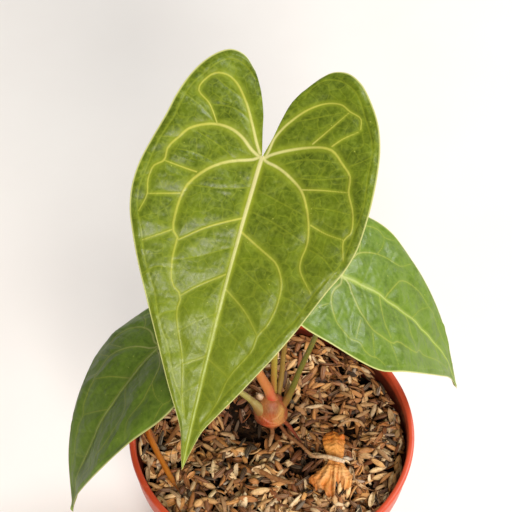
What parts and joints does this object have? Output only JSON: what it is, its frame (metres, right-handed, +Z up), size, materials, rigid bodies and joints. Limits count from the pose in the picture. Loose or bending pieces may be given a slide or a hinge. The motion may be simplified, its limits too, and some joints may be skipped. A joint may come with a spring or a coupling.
{
  "type": "potted anthurium",
  "caption": "Potted anthurium: pale-veined heart-shaped leaves on slim petioles rising from a reddish crown, rooted in rice-hull mix in a round plastic nursery pot.",
  "frame": {"origin": "centre of the pot's underside, on the surface it stands on", "axes": "+Z up out of the pot along its axis; -Y is the front, the side the front leaf points to; +X to the right seen from the front"},
  "size_m": [0.1621, 0.1348, 0.2449],
  "materials": {
    "pot_plastic": "satin",
    "rice_hull_mix": "matte",
    "crown_skin": "satin",
    "sheath_skin": "satin",
    "petiole_skin": "satin",
    "leaf_blade": "satin",
    "root_skin": "matte",
    "dry_tissue": "matte"
  },
  "bodies": {
    "root": {"pot": "pot_plastic", "potting_mix": "rice_hull_mix", "crown": "crown_skin", "side_bud": "sheath_skin", "shoot_sheath": "sheath_skin", "bract": "dry_tissue", "old_petiole": "dry_tissue", "petiole_front": "petiole_skin", "petiole_right": "petiole_skin", "petiole_left": "petiole_skin", "leaf_front": "leaf_blade", "leaf_right": "leaf_blade", "leaf_left": "leaf_blade", "root_long": "root_skin", "root_red": "root_skin", "root_stub": "root_skin", "root_arch": "root_skin", "dry_leaf": "dry_tissue", "dry_stick": "dry_tissue", "dry_stem": "dry_tissue"}
  },
  "joints": []
}
